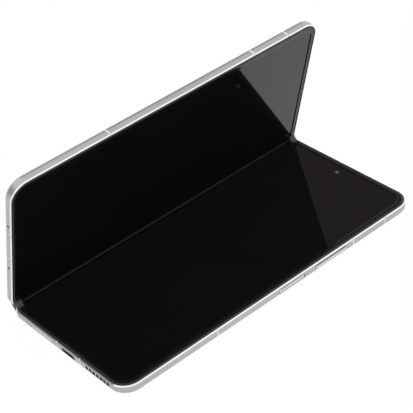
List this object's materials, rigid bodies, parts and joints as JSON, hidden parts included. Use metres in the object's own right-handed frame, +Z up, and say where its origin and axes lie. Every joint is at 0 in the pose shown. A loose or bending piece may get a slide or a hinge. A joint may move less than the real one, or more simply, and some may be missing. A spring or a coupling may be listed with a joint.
{
  "type": "foldable phone",
  "caption": "Slim book-style folding phone, half open on the back of its base half, with a geared two-axis hinge, an inner screen across the fold, side keys and a card tray.",
  "frame": {"origin": "middle of the base half's back cover, on its outer face", "axes": "+X from the hinge towards the side with the keys, +Y along the hinge from the socket edge to the edge with the front camera, +Z up out of the base half's screen"},
  "size_m": [0.0766, 0.1568, 0.0757],
  "materials": {
    "metal_frame": "satin anodised with polished bevels",
    "metal_trim": "satin anodised",
    "break_plastic": "smooth",
    "back_pane": "frosted",
    "cover_pane": "polished, dark printed behind",
    "lens_glass": "polished",
    "flash_lens": "diffusing",
    "screen": "glossy",
    "panel_layers": "smooth",
    "bezel": "satin",
    "fold_strip": "soft satin",
    "steel_plate": "satin",
    "hinge_steel": "machined",
    "screw_steel": "dark zinc",
    "gear_steel": "machined",
    "cell_pouch": "foil pouch, wrapped",
    "board": "solder mask",
    "shield": "stamped",
    "module_black": "moulded",
    "module_grey": "moulded",
    "magnet": "nickel plated",
    "cable_film": "film"
  },
  "bodies": {
    "base": {"base_frame": "metal_frame", "base_antenna_breaks": "break_plastic", "back_glass": "back_pane", "camera_island": "metal_trim", "camera_windows": "lens_glass", "camera_modules": "module_black", "flash_window": "flash_lens", "base_bezel": "bezel", "base_display_panel": "panel_layers", "base_screen_film": "screen", "base_support_plate": "steel_plate", "base_battery": "cell_pouch", "main_board": "board", "board_shields": "shield", "lower_board": "board", "socket_sleeve": "shield", "socket_tongue": "module_black", "loudspeaker": "module_black", "vibration_motor": "module_grey", "card_reader": "shield", "key_switches": "module_grey", "front_camera": "module_black", "base_magnets": "magnet", "base_hinge_arms": "hinge_steel", "base_arm_screws": "screw_steel"},
    "spine": {"spine_cover": "metal_trim", "hinge_blocks": "hinge_steel", "friction_clips": "hinge_steel", "fold_panel": "panel_layers", "fold_film": "screen", "fold_edge_strips": "fold_strip", "hinge_cable": "cable_film"},
    "lid": {"lid_frame": "metal_frame", "lid_antenna_breaks": "break_plastic", "cover_glass": "cover_pane", "cover_display": "panel_layers", "cover_camera": "module_black", "lid_bezel": "bezel", "lid_display_panel": "panel_layers", "lid_screen_film": "screen", "lid_support_plate": "steel_plate", "lid_battery": "cell_pouch", "lid_board": "board", "earpiece": "module_black", "lid_magnets": "magnet", "lid_hinge_arms": "hinge_steel", "lid_arm_screws": "screw_steel"},
    "base_timing": {"base_timing_shafts": "gear_steel", "base_timing_levers": "gear_steel"},
    "lid_timing": {"lid_timing_shafts": "gear_steel", "lid_timing_levers": "gear_steel"},
    "base_idler": {"base_idler_gears": "gear_steel"},
    "lid_idler": {"lid_idler_gears": "gear_steel"},
    "power_key": {"power_key": "metal_trim"},
    "volume_key": {"volume_key": "metal_trim"},
    "card_tray": {"card_tray": "metal_trim"}
  },
  "joints": [
    {"name": "spine_turn", "type": "hinge", "parent": "base", "child": "spine", "pos_m": [-0.03505, 0, 0.00325], "axis": [0, 1, 0], "range_deg": [-54, 36], "deforming": ["fold_panel", "fold_film", "fold_edge_strips", "hinge_cable"]},
    {"name": "lid_turn", "type": "hinge", "parent": "spine", "child": "lid", "pos_m": [-0.03658, 0, 0.00535], "axis": [0, 1, 0], "range_deg": [-54, 36]},
    {"name": "base_timing_turn", "type": "hinge", "parent": "spine", "child": "base_timing", "pos_m": [-0.03581, 0, 0.00208], "axis": [0, 1, 0], "range_deg": [-36, 54]},
    {"name": "base_idler_turn", "type": "hinge", "parent": "spine", "child": "base_idler", "pos_m": [-0.03651, 0, 0.00305], "axis": [0, 1, 0], "range_deg": [-54, 36]},
    {"name": "lid_idler_turn", "type": "hinge", "parent": "spine", "child": "lid_idler", "pos_m": [-0.03722, 0, 0.00402], "axis": [0, 1, 0], "range_deg": [-36, 54]},
    {"name": "lid_timing_turn", "type": "hinge", "parent": "spine", "child": "lid_timing", "pos_m": [-0.03792, 0, 0.00499], "axis": [0, 1, 0], "range_deg": [-54, 36]},
    {"name": "power_key_press", "type": "slide", "parent": "base", "child": "power_key", "axis": [-1, 0, 0], "range_m": [0, 0.00025], "stiffness_N_per_m": 6000, "springref_m": -0.0001},
    {"name": "volume_key_rock", "type": "hinge", "parent": "base", "child": "volume_key", "pos_m": [0.03555, 0.0296, 0.00235], "axis": [0, 0, 1], "range_deg": [-2.3, 2.3], "stiffness_Nm_per_rad": 0.2},
    {"name": "card_tray_slide", "type": "slide", "parent": "base", "child": "card_tray", "axis": [0, -1, 0], "range_m": [0, 0.012]}
  ],
  "couplings": [
    {"joint": "lid_turn", "follows": "spine_turn", "ratio": 1},
    {"joint": "base_timing_turn", "follows": "spine_turn", "ratio": -1},
    {"joint": "base_idler_turn", "follows": "spine_turn", "ratio": 1},
    {"joint": "lid_idler_turn", "follows": "spine_turn", "ratio": -1},
    {"joint": "lid_timing_turn", "follows": "spine_turn", "ratio": 1}
  ]
}
